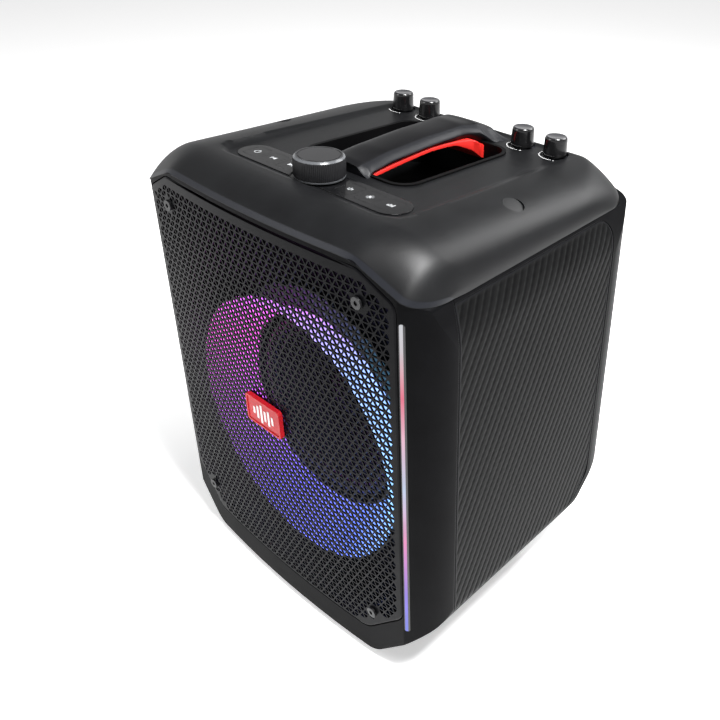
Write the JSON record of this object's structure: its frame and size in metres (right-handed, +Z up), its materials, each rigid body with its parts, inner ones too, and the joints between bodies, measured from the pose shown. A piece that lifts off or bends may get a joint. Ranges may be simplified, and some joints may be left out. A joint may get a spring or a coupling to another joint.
{
  "type": "party speaker",
  "caption": "Tabletop party speaker: convex perforated grille with a ring light, light bars, sloping control tray, turning knobs, sprung keys and a bridge handle over a hand pocket.",
  "frame": {"origin": "centre of the footprint of the whole speaker, on the surface that it stands on", "axes": "+Z up, +Y from the grille to the rear, +X to the right as seen from the front"},
  "size_m": [0.299, 0.2524, 0.3704],
  "materials": {
    "shell_black": "satin",
    "bezel_black": "satin",
    "side_texture": "ribbed satin",
    "pocket_black": "matt",
    "handle_satin": "satin",
    "liner_red": "satin",
    "panel_gloss": "polished",
    "key_gloss": "polished",
    "knob_gloss": "polished",
    "small_knob_gloss": "polished",
    "grille_metal": "satin black paint",
    "screw_black": "black",
    "badge_red": "polished",
    "light_bar": "diffusing",
    "ring_light": "diffusing",
    "board_green": "laminate",
    "baffle_board": "painted",
    "basket_metal": "painted",
    "magnet_ferrite": "matt",
    "cone_paper": "coated",
    "surround_rubber": "matt",
    "coil_copper": "wound",
    "spider_fabric": "woven",
    "battery_wrap": "wrapped",
    "sink_aluminium": "extruded",
    "shaft_steel": "turned",
    "jack_body": "moulded",
    "socket_steel": "plated",
    "feet_rubber": "matt",
    "rear_panel_black": "satin",
    "pot_case": "plated"
  },
  "bodies": {
    "root": {"top_shell": "shell_black", "shoulder_plugs": "shell_black", "hand_pocket": "pocket_black", "handle_bar": "handle_satin", "handle_liner": "liner_red", "front_bezel": "bezel_black", "led_bar_left": "light_bar", "led_bar_right": "light_bar", "side_panel_left": "side_texture", "side_panel_right": "side_texture", "rear_cabinet": "bezel_black", "rear_panel": "rear_panel_black", "microphone_jacks": "jack_body", "aux_jack": "jack_body", "usb_socket": "socket_steel", "power_inlet": "jack_body", "switch_frame": "jack_body", "bass_port": "pocket_black", "rubber_feet": "feet_rubber", "control_panel": "panel_gloss", "main_encoder": "pot_case", "control_boards": "board_green", "grille": "grille_metal", "grille_screws": "screw_black", "badge": "badge_red", "ring_diffuser": "ring_light", "ring_board": "board_green", "baffle": "baffle_board", "woofer_basket": "basket_metal", "woofer_magnet": "magnet_ferrite", "battery_pack": "battery_wrap", "amplifier_board": "board_green", "heat_sink": "sink_aluminium", "cabinet_screws": "screw_black", "treble_potentiometer": "pot_case", "bass_potentiometer": "pot_case", "echo_potentiometer": "pot_case", "microphone_potentiometer": "pot_case"},
    "main_knob": {"main_knob": "knob_gloss", "main_shaft": "shaft_steel"},
    "power_rocker": {"power_rocker": "jack_body"},
    "cone": {"woofer_cone": "cone_paper", "woofer_dust_cap": "cone_paper", "voice_coil": "coil_copper", "woofer_surround": "surround_rubber", "woofer_spider": "spider_fabric"},
    "key_power": {"key_power": "key_gloss"},
    "key_previous": {"key_previous": "key_gloss"},
    "key_next": {"key_next": "key_gloss"},
    "key_function": {"key_function": "key_gloss"},
    "key_light": {"key_light": "key_gloss"},
    "key_mode": {"key_mode": "key_gloss"},
    "treble_knob": {"treble_knob": "small_knob_gloss", "treble_shaft": "shaft_steel"},
    "bass_knob": {"bass_knob": "small_knob_gloss", "bass_shaft": "shaft_steel"},
    "echo_knob": {"echo_knob": "small_knob_gloss", "echo_shaft": "shaft_steel"},
    "microphone_knob": {"microphone_knob": "small_knob_gloss", "microphone_shaft": "shaft_steel"}
  },
  "joints": [
    {"name": "main_knob_turn", "type": "hinge", "parent": "root", "child": "main_knob", "pos_m": [0, -0.05733, 0.36072], "axis": [0, 0.0576, 0.9983], "continuous": true},
    {"name": "treble_turn", "type": "hinge", "parent": "root", "child": "treble_knob", "pos_m": [-0.0802, 0.1059, 0.35131], "axis": [0, 0.0576, 0.9983], "range_deg": [-150, 150]},
    {"name": "bass_turn", "type": "hinge", "parent": "root", "child": "bass_knob", "pos_m": [-0.0492, 0.1059, 0.35131], "axis": [0, 0.0576, 0.9983], "range_deg": [-150, 150]},
    {"name": "echo_turn", "type": "hinge", "parent": "root", "child": "echo_knob", "pos_m": [0.0492, 0.1059, 0.35131], "axis": [0, 0.0576, 0.9983], "range_deg": [-150, 150]},
    {"name": "microphone_turn", "type": "hinge", "parent": "root", "child": "microphone_knob", "pos_m": [0.0802, 0.1059, 0.35131], "axis": [0, 0.0576, 0.9983], "range_deg": [-150, 150]},
    {"name": "power_press", "type": "slide", "parent": "root", "child": "key_power", "axis": [0, -0.0576, -0.9983], "range_m": [0, 0.0005], "stiffness_N_per_m": 500, "springref_m": -0.0005},
    {"name": "previous_press", "type": "slide", "parent": "root", "child": "key_previous", "axis": [0, -0.0576, -0.9983], "range_m": [0, 0.0005], "stiffness_N_per_m": 500, "springref_m": -0.0005},
    {"name": "next_press", "type": "slide", "parent": "root", "child": "key_next", "axis": [0, -0.0576, -0.9983], "range_m": [0, 0.0005], "stiffness_N_per_m": 500, "springref_m": -0.0005},
    {"name": "function_press", "type": "slide", "parent": "root", "child": "key_function", "axis": [0, -0.0576, -0.9983], "range_m": [0, 0.0005], "stiffness_N_per_m": 500, "springref_m": -0.0005},
    {"name": "light_press", "type": "slide", "parent": "root", "child": "key_light", "axis": [0, -0.0576, -0.9983], "range_m": [0, 0.0005], "stiffness_N_per_m": 500, "springref_m": -0.0005},
    {"name": "mode_press", "type": "slide", "parent": "root", "child": "key_mode", "axis": [0, -0.0576, -0.9983], "range_m": [0, 0.0005], "stiffness_N_per_m": 500, "springref_m": -0.0005},
    {"name": "power_rock", "type": "hinge", "parent": "root", "child": "power_rocker", "pos_m": [0.036, 0.12225, 0.12], "axis": [1, 0, 0], "range_deg": [-16, 0]},
    {"name": "cone_stroke", "type": "slide", "parent": "root", "child": "cone", "axis": [0, -1, 0], "range_m": [-0.004, 0.004], "stiffness_N_per_m": 2500}
  ]
}
